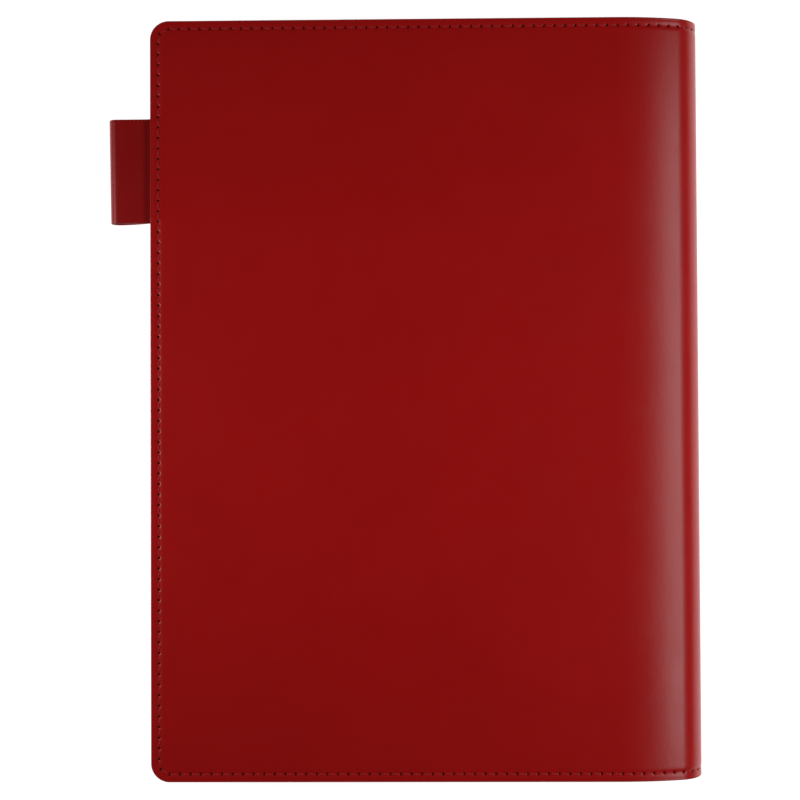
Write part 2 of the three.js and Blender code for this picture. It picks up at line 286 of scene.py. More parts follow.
def rounded(radius, steps=5):
    """Insets and depths of a quarter round, from the face over to the cut edge."""
    turns = [math.pi / 2 * step / steps for step in range(steps + 1)]
    return [(radius * (1 - math.sin(turn)), radius * (1 - math.cos(turn))) for turn in turns]


def seam_insets(seam, reach, steps=8):
    """Insets from well inside a seam to well outside it, closest together on the seam itself."""
    shares = [1 - step / steps for step in range(2 * steps + 1)]
    return [seam + reach * share * abs(share) for share in shares]


def side_stations(low, high, pitch, extra=()):
    """Places along a straight side, from high down to low, that fall on every needle hole."""
    step = pitch / STATIONS_PER_STITCH
    first = math.ceil((low - CORNER) / step + TINY)
    last = math.floor((high - CORNER) / step - TINY)
    regular = [CORNER + number * step for number in range(first, last + 1)]
    kept = [at for at in regular if all(abs(at - other) > SAME_PLACE for other in extra)]
    return sorted({low, high, *kept, *extra}, reverse=True)


def off_hole(distance, pitch):
    """How far a place on a seam is from the nearest needle hole."""
    return abs(distance / pitch - round(distance / pitch)) * pitch


def round_the_end(half_width, corner, end_pitch, seam, parts):
    """Places round a sheet's closed end and its two corners, from +across to -across, with each of
    the seam's stitches split into parts: how far along the seam, the point on the cut edge, and the
    way inwards."""
    straight = half_width - corner
    bend = (corner - seam) * math.pi / 2
    end_length = 2 * straight + 2 * bend
    count = round(end_length / end_pitch) * parts
    for number in range(count + 1):
        at = end_length * number / count
        if at <= bend or at >= end_length - bend:
            share = at / bend if at <= bend else (end_length - at) / bend
            sign = 1 if at <= bend else -1
            turn = share * math.pi / 2
            inward = (math.sin(turn), -sign * math.cos(turn))
            origin = (corner - corner * inward[0], sign * straight - corner * inward[1])
        else:
            inward = (1, 0)
            origin = (0, straight - (at - bend))
        yield at, origin, inward


def rim_columns(length, half_width, corner, pitch, end_pitch, seam, extra):
    """Columns round three sides: the point on the cut edge, the way inwards, and the distance from
    the nearest needle hole, from the mouth at +across round the closed end to the mouth at -across."""
    sides = side_stations(corner, length, pitch, extra)
    columns = [((at, half_width), (0, -1), off_hole(at - corner, pitch)) for at in sides[:-1]]
    for at, origin, inward in round_the_end(half_width, corner, end_pitch, seam, STATIONS_PER_STITCH):
        columns.append((origin, inward, off_hole(at, end_pitch)))
    columns += [((at, -half_width), (0, 1), off_hole(at - corner, pitch)) for at in reversed(sides[:-1])]
    return columns


def inset_point(column, inset, half_width):
    """Where a column crosses this inset. Past the corner's centre the corner's columns run together."""
    (along, across), (inward_along, inward_across), _ = column
    limit = half_width - inset
    return (
        max(along + inset * inward_along, inset),
        min(max(across + inset * inward_across, -limit), limit),
    )


def plain(row, hole):
    """Every face takes the first material."""
    return 0


def three_sided(name, skin, half_width, flat_end, columns, rows, relief, materials, paint=plain):
    """A sheet with three cut or sewn sides and one open or running-on end. Rows go from well inside
    one face, over the edge, to well inside the other. The middle is one flat face up to flat_end.
    paint gives a face's material from its row and its distance from the nearest needle hole."""
    grid = []
    for column in columns:
        line = []
        for number, (inset, depth) in enumerate(rows):
            along, across = inset_point(column, inset, half_width)
            line.append(skin.vertex(along, across, depth + relief(number, inset, along, across, column[2])))
        grid.append(line)
    for number, (before, after) in enumerate(zip(grid, grid[1:])):
        hole = max(columns[number][2], columns[number + 1][2])
        for row in range(len(rows) - 1):
            skin.face([before[row], after[row], after[row + 1], before[row + 1]], paint(row, hole))
    flat_count = sum(1 for column in columns if column[0][0] <= flat_end + TINY)
    bent = (len(columns) - flat_count) // 2
    for row in (0, -1):
        line = [vertices[row] for vertices in grid]
        for number in range(bent):
            skin.face([line[number], line[number + 1], line[-number - 2], line[-number - 1]])
        skin.face(line[bent:len(line) - bent])
    skin.face(grid[0] + grid[-1][::-1])
    return skin.finish(name, materials)


def band(name, skin, low, high, half_width, rows, relief, materials, paint=plain):
    """A ply of the spine: the rows' profile at the head and the tail, joined across both faces."""
    stations = side_stations(low, high, PITCH)[::-1]
    rings = []
    for at in stations:
        hole = off_hole(at - CORNER, PITCH)
        head, tail = [], []
        for number, (inset, depth) in enumerate(rows):
            deep = depth + relief(number, inset, at, half_width - inset, hole)
            head.append(skin.vertex(at, half_width - inset, deep))
            tail.append(skin.vertex(at, inset - half_width, deep))
        rings.append(head + tail[::-1])
    for number, (before, after) in enumerate(zip(rings, rings[1:])):
        hole = max(off_hole(at - CORNER, PITCH) for at in stations[number:number + 2])
        count = len(before)
        for row in range(count):
            following = (row + 1) % count
            material = paint(min(row, count - 2 - row), hole)
            skin.face([before[row], after[row], after[following], before[following]], material)
    skin.face(rings[0])
    skin.face(rings[-1])
    return skin.finish(name, materials)


# ---------------------------------------------------------------- seams and stitches


def seam_holes(length, half_width, corner, pitch, end_pitch, seam):
    """The needle holes of a three-sided seam, in sewing order."""
    count = math.floor((length - corner) / pitch + TINY)
    side = [corner + number * pitch for number in range(count, 0, -1)]
    edge = half_width - seam
    holes = [(at, edge) for at in side]
    for _, origin, inward in round_the_end(half_width, corner, end_pitch, seam, 1):
        holes.append((origin[0] + seam * inward[0], origin[1] + seam * inward[1]))
    holes += [(at, -edge) for at in reversed(side)]
    return holes


def add_stitch(skin, start, end, face_depth, outward):
    """One slanting stitch between two needle holes. It lies on the face and dives into the holes."""
    run = Vector(end) - Vector(start)
    side = Vector((-run.y, run.x)).normalized()
    rings = []
    for step in range(STITCH_STEPS + 1):
        share = step / STITCH_STEPS
        along = STITCH_MARGIN + (1 - 2 * STITCH_MARGIN) * share
        middle = Vector(start) + run * along + side * STITCH_SLANT * (1 - 2 * share)
        arch = math.sin(math.pi * share) ** 0.5
        height = STITCH_RISE - (1 - arch) * STITCH_DIVE
        fat = STITCH_RADIUS * (STITCH_TIP + (1 - STITCH_TIP) * arch)
        ring = []
        for number in range(STITCH_SIDES):
            turn = 2 * math.pi * number / STITCH_SIDES
            at = middle + side * fat * math.cos(turn)
            rise = height + STITCH_FLATNESS * fat * math.sin(turn)
            vertex = skin.mesh.verts.new(skin.place(at.x, at.y, face_depth - outward * rise))
            skin.charted[vertex] = (share * run.length, turn)
            ring.append(vertex)
        rings.append(ring)
    for before, after in zip(rings, rings[1:]):
        for number in range(STITCH_SIDES):
            following = (number + 1) % STITCH_SIDES
            skin.face([before[number], after[number], after[following], before[following]])
    skin.face(rings[0][::-1])
    skin.face(rings[-1])


def stitch_run(name, place, holes, face_depth, outward, materials):
    """Stitches between one hole and the next. face_depth gives the depth of the face at a place."""
    skin = Skin(place, lambda along, across: (along, across))
    for start, end in zip(holes, holes[1:]):
        middle = ((start[0] + end[0]) / 2, (start[1] + end[1]) / 2)
        add_stitch(skin, start, end, face_depth(*middle), outward)
    return skin.finish(name, materials)


# ---------------------------------------------------------------- materials


def new_material(name):
    material = bpy.data.materials.new(name)
    material.use_nodes = True
    shader = material.node_tree.nodes["Principled BSDF"]
    return material, material.node_tree.nodes, material.node_tree.links, shader


def scaled_uv(nodes, links, scale):
    """The mesh's own chart, in millimetres, times scale."""
    chart = nodes.new("ShaderNodeUVMap")
    chart.uv_map = "UVMap"
    mapping = nodes.new("ShaderNodeMapping")
    mapping.inputs["Scale"].default_value = scale
    links.new(chart.outputs["UV"], mapping.inputs["Vector"])
    return mapping.outputs["Vector"]


def noise(nodes, links, vector, scale, detail, roughness):
    texture = nodes.new("ShaderNodeTexNoise")
    texture.inputs["Scale"].default_value = scale
    texture.inputs["Detail"].default_value = detail
    texture.inputs["Roughness"].default_value = roughness
    links.new(vector, texture.inputs["Vector"])
    return texture.outputs["Fac"]


def bump(nodes, links, height, distance, normal=None):
    node = nodes.new("ShaderNodeBump")
    node.inputs["Distance"].default_value = distance * MM
    links.new(height, node.inputs["Height"])
    if normal is not None:
        links.new(normal, node.inputs["Normal"])
    return node.outputs["Normal"]


def ramp(nodes, links, value, stops):
    node = nodes.new("ShaderNodeValToRGB")
    points = node.color_ramp.elements
    while len(points) < len(stops):
        points.new(0.5)
    for point, (at, colour) in zip(points, stops):
        point.position = at
        point.color = (*colour, 1)
    links.new(value, node.inputs["Fac"])
    return node.outputs["Color"]


def spread(nodes, links, value, low, high):
    node = nodes.new("ShaderNodeMapRange")
    node.inputs["To Min"].default_value = low
    node.inputs["To Max"].default_value = high
    links.new(value, node.inputs["Value"])
    return node.outputs["Result"]


def leather_material(name, deep, bright, roughness, grain):
    """Smooth finished leather: pebbled fine grain, faint creases, mottled dye and an uneven sheen."""
    material, nodes, links, shader = new_material(name)
    chart = scaled_uv(nodes, links, (1, 1, 1))
    mottle = noise(nodes, links, chart, scale=0.035, detail=4, roughness=0.6)
    fine_noise = noise(nodes, links, chart, scale=5.0, detail=3, roughness=0.6)
    crease_noise = noise(nodes, links, chart, scale=0.35, detail=3, roughness=0.55)
    wave_noise = noise(nodes, links, chart, scale=0.045, detail=2, roughness=0.4)
    links.new(ramp(nodes, links, mottle, [(0.3, deep), (0.7, bright)]), shader.inputs["Base Color"])
    pebbles = nodes.new("ShaderNodeTexVoronoi")
    pebbles.feature = "SMOOTH_F1"
    pebbles.inputs["Scale"].default_value = 2.6
    links.new(chart, pebbles.inputs["Vector"])
    fine = bump(nodes, links, pebbles.outputs["Distance"], grain)
    pores = bump(nodes, links, fine_noise, grain * 0.6, fine)
    creases = bump(nodes, links, crease_noise, grain * 3, pores)
    waves = bump(nodes, links, wave_noise, grain * 12, creases)
    links.new(waves, shader.inputs["Normal"])
    sheen = noise(nodes, links, chart, scale=0.08, detail=3, roughness=0.6)
    links.new(spread(nodes, links, sheen, roughness - 0.04, roughness + 0.05), shader.inputs["Roughness"])
    shader.inputs["IOR"].default_value = 1.45
    return material


def edge_material():
    """The cut edge of the leather, sealed with edge paint."""
    material, nodes, links, shader = new_material("edge_paint")
    place = nodes.new("ShaderNodeTexCoord").outputs["Object"]
    grain = noise(nodes, links, place, scale=900, detail=3, roughness=0.6)
    tones = [(0.2, (0.12, 0.004, 0.005)), (0.8, (0.19, 0.006, 0.007))]
    links.new(ramp(nodes, links, grain, tones), shader.inputs["Base Color"])
    links.new(bump(nodes, links, grain, 0.05), shader.inputs["Normal"])
    shader.inputs["Roughness"].default_value = 0.55
    shader.inputs["IOR"].default_value = 1.3
    return material


def hole_shade_material():
    """Painted shade: a dark colour that stands in for the shade inside a needle hole."""
    material, nodes, links, shader = new_material("painted_hole_shade")
    place = nodes.new("ShaderNodeTexCoord").outputs["Object"]
    fibres = noise(nodes, links, place, scale=1500, detail=3, roughness=0.6)
    tones = [(0.3, (0.11, 0.002, 0.002)), (0.7, (0.17, 0.003, 0.003))]
    links.new(ramp(nodes, links, fibres, tones), shader.inputs["Base Color"])
    links.new(bump(nodes, links, fibres, 0.05), shader.inputs["Normal"])
    shader.inputs["Roughness"].default_value = 0.9
    shader.inputs["IOR"].default_value = 1.2
    return material


def cloth_material():
    """A plain weave of fine yarns, for the lining."""
    material, nodes, links, shader = new_material("lining_cloth")
    chart = scaled_uv(nodes, links, (1, 1, 1))
    heights = []
    for direction in ("X", "Y"):
        yarn = nodes.new("ShaderNodeTexWave")
        yarn.bands_direction = direction
        yarn.inputs["Scale"].default_value = 0.7
        yarn.inputs["Distortion"].default_value = 0.6
        yarn.inputs["Detail"].default_value = 1.0
        links.new(chart, yarn.inputs["Vector"])
        heights.append(yarn.outputs["Fac"])
    woven = nodes.new("ShaderNodeMath")
    woven.operation = "MULTIPLY"
    links.new(heights[0], woven.inputs[0])
    links.new(heights[1], woven.inputs[1])
    tones = [(0.1, (0.17, 0.006, 0.009)), (0.8, (0.34, 0.015, 0.02))]
    links.new(ramp(nodes, links, woven.outputs["Value"], tones), shader.inputs["Base Color"])
    links.new(bump(nodes, links, woven.outputs["Value"], 0.12), shader.inputs["Normal"])
    shader.inputs["Roughness"].default_value = 0.85
    shader.inputs["Sheen Weight"].default_value = 0.06
    return material


def thread_material():
    """Waxed thread, a little lighter than the leather, with the slanting twist of its strands."""
    material, nodes, links, shader = new_material("seam_thread")
    chart = scaled_uv(nodes, links, (1.0, 0.16, 1))
    twist = nodes.new("ShaderNodeTexWave")
    twist.bands_direction = "DIAGONAL"
    twist.inputs["Scale"].default_value = 1.1
    links.new(chart, twist.inputs["Vector"])
    tones = [(0.0, (0.56, 0.016, 0.018)), (1.0, (0.7, 0.045, 0.05))]
    links.new(ramp(nodes, links, twist.outputs["Fac"], tones), shader.inputs["Base Color"])
    links.new(bump(nodes, links, twist.outputs["Fac"], 0.04), shader.inputs["Normal"])
    shader.inputs["Roughness"].default_value = 0.68
    shader.inputs["IOR"].default_value = 1.35
    return material


def board_material():
    """Grey board of pressed fibres."""
    material, nodes, links, shader = new_material("grey_board")
    place = nodes.new("ShaderNodeTexCoord").outputs["Object"]
    fibres = noise(nodes, links, place, scale=600, detail=4, roughness=0.7)
    tones = [(0.3, (0.2, 0.19, 0.17)), (0.7, (0.33, 0.31, 0.28))]
    links.new(ramp(nodes, links, fibres, tones), shader.inputs["Base Color"])
    links.new(bump(nodes, links, fibres, 0.05), shader.inputs["Normal"])
    shader.inputs["Roughness"].default_value = 0.95
    return material


cover_leather = leather_material(
    "cover_leather", deep=(0.575, 0.006, 0.0055), bright=(0.61, 0.0068, 0.0062), roughness=0.3, grain=0.01
)
# The cover's leather made darker for the pen loop: painted shade, as the strap lies below the cover's face
# and in its shadow.
loop_leather_painted_shade = leather_material(
    "loop_leather_painted_shade", deep=(0.41, 0.0035, 0.0032), bright=(0.43, 0.004, 0.0036), roughness=0.34, grain=0.01
)
sleeve_leather = leather_material(
    "sleeve_leather", deep=(0.46, 0.0065, 0.0065), bright=(0.52, 0.008, 0.008), roughness=0.42, grain=0.014
)
edge_paint = edge_material()
# Painted shade for the needle holes, in place of the shade that falls inside them.
painted_hole_shade = hole_shade_material()
lining_cloth = cloth_material()
seam_thread = thread_material()
grey_board = board_material()

# ---------------------------------------------------------------- profiles of the plies


def outer_rows():
    """Outer leather: the face with its seam, the rounded cut edge, and the flesh side."""
    over = rounded(EDGE_ROUND)
    under = [(inset, LEATHER - depth) for inset, depth in rounded(FLESH_ROUND, 3)[::-1]]
    face = [(inset, 0.0) for inset in [FACE_INSET] + seam_insets(SEAM_INSET, SEAM_REACH)]
    rows = face + over + under + [(FLESH_INSET, LEATHER)]
    return rows, len(face), len(face) + len(over) + len(under)


leather_rows, leather_face_count, leather_edge_end = outer_rows()
leather_edge_rows = range(leather_face_count + 2, leather_edge_end)


def near_seam(insets, seam):
    """Rows of faces near enough to the seam line to take a needle hole's painted shade."""
    off = [abs(inset - seam) for inset in insets]
    return [row for row, pair in enumerate(zip(off, off[1:])) if max(pair) < HOLE_SHADE_SIZE]


leather_seam_rows = near_seam([inset for inset, _ in leather_rows[:leather_face_count]], SEAM_INSET)


def leather_paint(row, hole):
    """The outer leather's faces are leather, edge paint or the painted shade of a needle hole."""
    if row in leather_edge_rows:
        return 1
    if row in leather_seam_rows and hole < HOLE_SHADE_SIZE:
        return 2
    return 0


def loop_lift(along, across):
    """The share of the full lift at a place: the pen loop's ends, sewn in below, raise the leather."""
    within = LOOP_WIDTH / 2 + LIFT_MARGIN - abs(across - LOOP_MIDDLE)
    return smooth(within / LIFT_SIDE_RUN) * (1 - smooth((along - LIFT_END) / LIFT_END_RUN))


def seam_relief(number, inset, hole):
    """The stitches draw the leather down along the seam and deepest at each needle hole."""
    if number > leather_face_count:
        return 0.0
    drawn = SEAM_SINK * bell(inset - SEAM_INSET, SEAM_SPREAD)
    pricked = HOLE_DEPTH * bell(inset - SEAM_INSET, HOLE_SPREAD) * bell(hole, HOLE_SPREAD * 1.25)
    return drawn + pricked + EDGE_DROOP * bell(inset, EDGE_DROOP_SPREAD)


def front_relief(number, inset, along, across, hole):
    return seam_relief(number, inset, hole)


def back_relief(number, inset, along, across, hole):
    return seam_relief(number, inset, hole) - LOOP_LIFT * loop_lift(along, across)


# ---------------------------------------------------------------- outer leather


def front_chart(along, across):
    return along, across


def back_chart(along, across):
    return GIRTH - along, across


def outer_leather(name, body, place, chart, relief):
    shoulder = (PANEL_LENGTH,)
    columns = rim_columns(NOSE_START, HALF_HEIGHT, CORNER, PITCH, FORE_EDGE_PITCH, SEAM_INSET, shoulder)
    # The hide's third material is the painted shade of its needle holes.
    piece = three_sided(f"{name}_hide", Skin(place, chart), HALF_HEIGHT, PANEL_LENGTH, columns,
                        leather_rows, relief, [cover_leather, edge_paint, painted_hole_shade], leather_paint)
    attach(piece, body)
    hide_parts(f"{name}_cover_leather")


def front_face(along, across):
    """The depth of the face along the seam, where the stitches draw it in."""
    return SEAM_SINK


def back_face(along, across):
    return SEAM_SINK - LOOP_LIFT * loop_lift(along, across)


def outer_stitches(name, body, place, face_depth):
    holes = seam_holes(NOSE_START, HALF_HEIGHT, CORNER, PITCH, FORE_EDGE_PITCH, SEAM_INSET)
    piece = stitch_run(f"{name}_outer_stitches", place, holes, face_depth, 1, [seam_thread])
    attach(piece, body)
    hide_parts(f"{name}_outer_seam_thread")


outer_leather("front", "front_cover", front, front_chart, front_relief)
outer_leather("back", "back_cover", back, back_chart, back_relief)
outer_stitches("front", "front_cover", front, front_face)
outer_stitches("back", "back_cover", back, back_face)

# ---------------------------------------------------------------- spine leather


def spine_blend(piece, number):
    strip_middle(number - 1, LEATHER)
    strip_middle(number, LEATHER)
    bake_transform(piece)


def spine_leather(number):
    low = NOSE_START + (number - 1) * STRIP_LENGTH
    # The hide's third material is the painted shade of its needle holes.
    piece = band(f"spine_hide_{number}", Skin(front, front_chart), low, low + STRIP_LENGTH, HALF_HEIGHT,
                 leather_rows, front_relief, [cover_leather, edge_paint, painted_hole_shade], leather_paint)
    spine_blend(piece, number)
    if number < HINGE_COUNT:
        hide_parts(f"spine_leather_{number}")


def spine_stitches(number, layer, face_depth, outward):
    """The stitches that start on this stretch of the spine, at the head and at the tail."""
    low = NOSE_START + (number - 1) * STRIP_LENGTH
    high = low + STRIP_LENGTH
    first = math.floor((NOSE_START - CORNER) / PITCH + TINY)
    last = 2 * STITCHES_TO_MID_SPINE - first
    for end, sign in (("head", 1), ("tail", -1)):
        skin = Skin(front, front_chart)
        for count in range(first, last):
            start = CORNER + count * PITCH
            middle = start + PITCH / 2
            outside = (number == 1 and middle < low) or (number == HINGE_COUNT and middle > high)
            if low <= middle < high or outside:
                edge = sign * (HALF_HEIGHT - SEAM_INSET)
                add_stitch(skin, (start, edge), (start + PITCH, edge), face_depth, outward)
        piece = skin.finish(f"spine_{end}_{layer}_stitches_{number}", [seam_thread])
        spine_blend(piece, number)
        if layer == "outer" and number < HINGE_COUNT:
            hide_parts(f"spine_{end}_thread_{number}")


for strip in range(1, HINGE_COUNT + 1):
    spine_leather(strip)
    spine_stitches(strip, "outer", SPINE_THREAD_SINK + SEAM_SINK, 1)
    spine_stitches(strip, "inner", LINING_TOP + LINING, -1)

# ---------------------------------------------------------------- lining

LINING_BOTTOM = LINING_TOP + LINING
LINING_INSETS = [10, 8.6, 8.0, 7.6, 7.2, 6.8, 6.4, 6.0, 5.0, 3.2, 2.0, 0.8]
LINING_EDGE = [
    (LINING_CHAMFER, LINING_BOTTOM),
    (0.0, LINING_BOTTOM - LINING_CHAMFER),
    (0.0, LINING_TOP),
    (3.0, LINING_TOP),
]


def lining_height(inset, along):
    """How far the lining stands up over the board."""
    from_side = smooth((inset - BOARD_INSET + LINING_LEAD) / LINING_RUN)
    from_spine = smooth((BOARD_END + LINING_LEAD - along) / LINING_RUN)
    return (LINING_FACE - LINING_BOTTOM) * from_side * from_spine


def half_lining(name, body, place, chart):
    rows = [(inset, LINING_BOTTOM) for inset in LINING_INSETS] + LINING_EDGE
    stations = (PANEL_LENGTH, *(BOARD_END + share * 0.25 for share in range(-4, 4)))
    columns = rim_columns(NOSE_START, HALF_HEIGHT, CORNER, LINING_PITCH, LINING_PITCH, SEAM_INSET, stations)

    def relief(number, inset, along, across, hole):
        return lining_height(inset, along) if number < len(LINING_INSETS) else 0.0

    piece = three_sided(f"{name}_lining_cloth", Skin(place, chart), HALF_HEIGHT, BOARD_END - 2, columns,
                        rows, relief, [lining_cloth])
    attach(piece, body)
    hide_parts(f"{name}_lining")


def spine_lining(number):
    low = NOSE_START + (number - 1) * STRIP_LENGTH
    rows = [(inset, LINING_BOTTOM) for inset in (6.0, 2.0, 0.8)] + LINING_EDGE
    piece = band(f"spine_lining_cloth_{number}", Skin(front, front_chart), low, low + STRIP_LENGTH,
                 HALF_HEIGHT, rows, lambda *place: 0.0, [lining_cloth])
    spine_blend(piece, number)
    if number < HINGE_COUNT:
        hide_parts(f"spine_lining_{number}")


half_lining("front", "front_cover", front, front_chart)
half_lining("back", "back_cover", back, back_chart)
for strip in range(1, HINGE_COUNT + 1):
    spine_lining(strip)

# ---------------------------------------------------------------- sleeves

SLEEVE_INSETS = [12, 9, 8.4, 8.0, 7.6, 7.2, 6.8, 6.4, 6.0, 5.6, 5.2]


def mouth_relief(from_mouth, thickness):
    """How far a face lies back near an open mouth: round at the edge, with a creased line along it."""
    radius = MOUTH_ROUND * thickness
    back_off = max(radius - from_mouth, 0.0)
    round_off = radius - math.sqrt(radius * radius - back_off * back_off)
    return round_off + SLEEVE_CREASE_DEPTH * bell(from_mouth - HEM, 0.25)


def mouth_stations(length):
    """Places along a side, near the open mouth at this length, that its round edge and crease need."""
    return [length - step for step in MOUTH_STEPS]


def edge_paint_from(face_count, over_count):
    """Paint for a sheet that has this many rows on its face and this many round its outside corner."""

    def paint(row, hole):
        return 1 if face_count < row < face_count + over_count + 3 else 0

    return paint


def sleeve_panel(name, body, place, chart, length):
    """A sleeve: a sewn margin on three sides, a step up over the notebook's board, and a mouth."""
    face_rows = SLEEVE_INSETS + seam_insets(SEAM_INSET, SEAM_REACH)
    over = [(inset, MARGIN_FACE - depth) for inset, depth in rounded(SLEEVE_EDGE_ROUND, 3)]
    under = [(inset, SLEEVE_TOP + depth) for inset, depth in rounded(FLESH_ROUND, 3)[::-1]]
    rows = [(inset, MARGIN_FACE) for inset in face_rows] + over + under
    rows += [(inset, SLEEVE_TOP) for inset in SLEEVE_INSETS[::-1]]
    mouth = mouth_stations(length)
    columns = rim_columns(length, HALF_HEIGHT, CORNER, PITCH, FORE_EDGE_PITCH, SEAM_INSET, mouth)

    def relief(number, inset, along, across, hole):
        from_mouth = length - along
        if number < len(face_rows):
            risen = SLEEVE_RISE * smooth((inset - MARGIN_END) / RISE_RUN)
            return risen - seam_relief(number, inset, hole) - mouth_relief(from_mouth, SLEEVE_LEATHER)
        if number < len(face_rows) + len(over) + len(under):
            return 0.0
        return SLEEVE_RISE * smooth((inset - MARGIN_END - SLEEVE_LEATHER) / RISE_RUN)

    piece = three_sided(f"{name}_sleeve", Skin(place, chart), HALF_HEIGHT, mouth[-1], columns, rows,
                        relief, [sleeve_leather, edge_paint], edge_paint_from(len(face_rows), len(over)))
    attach(piece, body)
    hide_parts(f"{name}_sleeve_panel")


def inner_stitches(name, body, place, length):
    """The back of the outer seam: over the sleeve's margin, and beyond its mouth over the lining."""
    holes = seam_holes(NOSE_START, HALF_HEIGHT, CORNER, PITCH, FORE_EDGE_PITCH, SEAM_INSET)

    def face_depth(along, across):
        return MARGIN_FACE - SEAM_SINK if along < length else LINING_BOTTOM

    piece = stitch_run(f"{name}_inner_stitches", place, holes, face_depth, -1, [seam_thread])
    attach(piece, body)
    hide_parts(f"{name}_inner_seam_thread")


def sleeve_length(half):
    """From the fore-edge to the mouth. The half's wedge is so small that its box tells it."""
    low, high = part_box(f"{half}_sleeve_panel")
    return (high.x - low.x) / MM


for half, place, chart in (("front", front, front_chart), ("back", back, back_chart)):
    sleeve_panel(half, f"{half}_cover", place, chart, sleeve_length(half))
    inner_stitches(half, f"{half}_cover", place, sleeve_length(half))

# ---------------------------------------------------------------- card pockets

CARD_INSETS = [6.0, 5.2, 4.8, 4.4, CARD_RIM]


def card_pocket(place_name):
    """A pocket open towards the head. Along runs up from its foot and across is measured in X."""
    low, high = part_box(f"card_pocket_{place_name}")
    height = (high.y - low.y) / MM
    half_width = (high.x - low.x) / 2 / MM
    middle = (low.x + high.x) / 2
    top = low.z / MM
    face = high.z / MM

    def place(along, across, depth):
        return Vector((middle + across * MM, low.y + along * MM, depth * MM))

    face_rows = CARD_INSETS + seam_insets(CARD_SEAM_INSET, CARD_SEAM_REACH)
    over = [(inset, face - depth) for inset, depth in rounded(CARD_EDGE_ROUND, 4)]
    under = [(inset, top + depth) for inset, depth in rounded(FLESH_ROUND, 3)[::-1]]
    rows = [(inset, face) for inset in face_rows] + over + under
    rows += [(inset, top) for inset in CARD_INSETS[::-1]]
    mouth = mouth_stations(height)
    columns = rim_columns(height, half_width, CARD_CORNER, PITCH, PITCH, CARD_SEAM_INSET, mouth)

    def relief(number, inset, along, across, hole):
        if number < len(face_rows):
            drawn = seam_relief(number, inset + SEAM_INSET - CARD_SEAM_INSET, hole)
            return -CARD_SEAM_SHARE * drawn - mouth_relief(height - along, CARD_ROOM * 2)
        if number < len(face_rows) + len(over) + len(under):
            return 0.0
        return CARD_ROOM * smooth((inset - CARD_RIM) / CARD_ROOM_RUN)

    skin = Skin(place, lambda along, across: (across, along))
    piece = three_sided(f"card_pocket_{place_name}_hide", skin, half_width, mouth[-1], columns, rows,
                        relief, [sleeve_leather, edge_paint], edge_paint_from(len(face_rows), len(over)))
    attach(piece, "front_cover")
    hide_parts(f"card_pocket_{place_name}")

    holes = seam_holes(height, half_width, CARD_CORNER, PITCH, PITCH, CARD_SEAM_INSET)
    stitches = stitch_run(f"card_pocket_{place_name}_stitches", place, holes,
                          lambda along, across: face - CARD_SEAM_SHARE * SEAM_SINK, -1, [seam_thread])
    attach(stitches, "front_cover")


for place_name in ("rear", "middle", "fore"):
    card_pocket(place_name)

# ---------------------------------------------------------------- pen loop


def bezier(points, share):
    rest = 1 - share
    weights = (rest ** 3, 3 * rest * rest * share, 3 * rest * share * share, share ** 3)
    return tuple(sum(weight * point[axis] for weight, point in zip(weights, points)) for axis in (0, 1))


def strap_thickness(along):
    """The strap is pared thin where it goes into the seam."""
    return LOOP_PLY + (LOOP_LEATHER - LOOP_PLY) * smooth((-0.2 - along) / LOOP_NECK_RUN)


# Where the strap's upper ply is followed, from its sewn-in end out past the fore-edge. The places
# lie closest together where the ply grows thicker.
TAB_STATIONS = [LOOP_TAB, 4, 2, 1, 0.4, 0]
NECK_STATIONS = [-0.2 * step for step in range(1, 9)]
PLY_STATIONS = [-2.4, -4, -5.6, -7]
BEND_STEPS = 24
LEG_STEPS = 24


def strap_path():
    """The middle line of the folded strap: out from the seam, round the bend, and back to the seam."""
    top = LINING_TOP
    radius = (LOOP_THICKNESS - LOOP_LEATHER) / 2
    end = LOOP_THICKNESS / 2 - LOOP_REACH
    path = []
    for along in TAB_STATIONS + NECK_STATIONS + PLY_STATIONS:
        thickness = strap_thickness(along)
        settled = (thickness - LOOP_PLY) / (LOOP_LEATHER - LOOP_PLY)
        path.append((along, LOOP_TAB_TOP + (top - LOOP_TAB_TOP) * settled + thickness / 2))
    for step in range(BEND_STEPS + 1):
        turn = math.pi * step / BEND_STEPS
        path.append((end - radius * math.sin(turn), top + LOOP_THICKNESS / 2 - radius * math.cos(turn)))
    seat = LOOP_TAB_TOP + 1.5 * LOOP_PLY
    level = top + LOOP_THICKNESS - LOOP_LEATHER / 2
    leg = [(end, level), (end + 3.7, level), (-1.4, 2.5), (0.2, seat)]
    path += [bezier(leg, step / LEG_STEPS) for step in range(1, LEG_STEPS + 1)]
    path += [(along, seat) for along in (0.6, 1, 2, 4, LOOP_TAB)]
    return path


def strap_profile():
    """Half the strap's cross-section: inset from its side, and how far the face lies back there."""
    offs = [step * 0.1 for step in range(-3, 4)]
    crease = [(CREASE_INSET + off, LOOP_CREASE_DEPTH * bell(off, 0.14)) for off in offs]
    return rounded(LOOP_SIDE_ROUND, 4)[::-1] + crease + [(1.8, 0.0), (4.0, 0.0)]


def strap_ring(profile, thickness):
    """The strap's cross-section, over its outer face and back over the inner one."""
    half_width = LOOP_WIDTH / 2
    scale = thickness / LOOP_LEATHER
    outer = [(half_width - inset, thickness / 2 - back_off * scale) for inset, back_off in profile]
    outer += [(-across, rise) for across, rise in outer[::-1]]
    inner = []
    for across, rise in outer[::-1]:
        on_side = abs(across) > half_width - LOOP_SIDE_ROUND - SAME_PLACE
        inner.append((across, -rise if on_side else -thickness / 2))
    return outer + inner


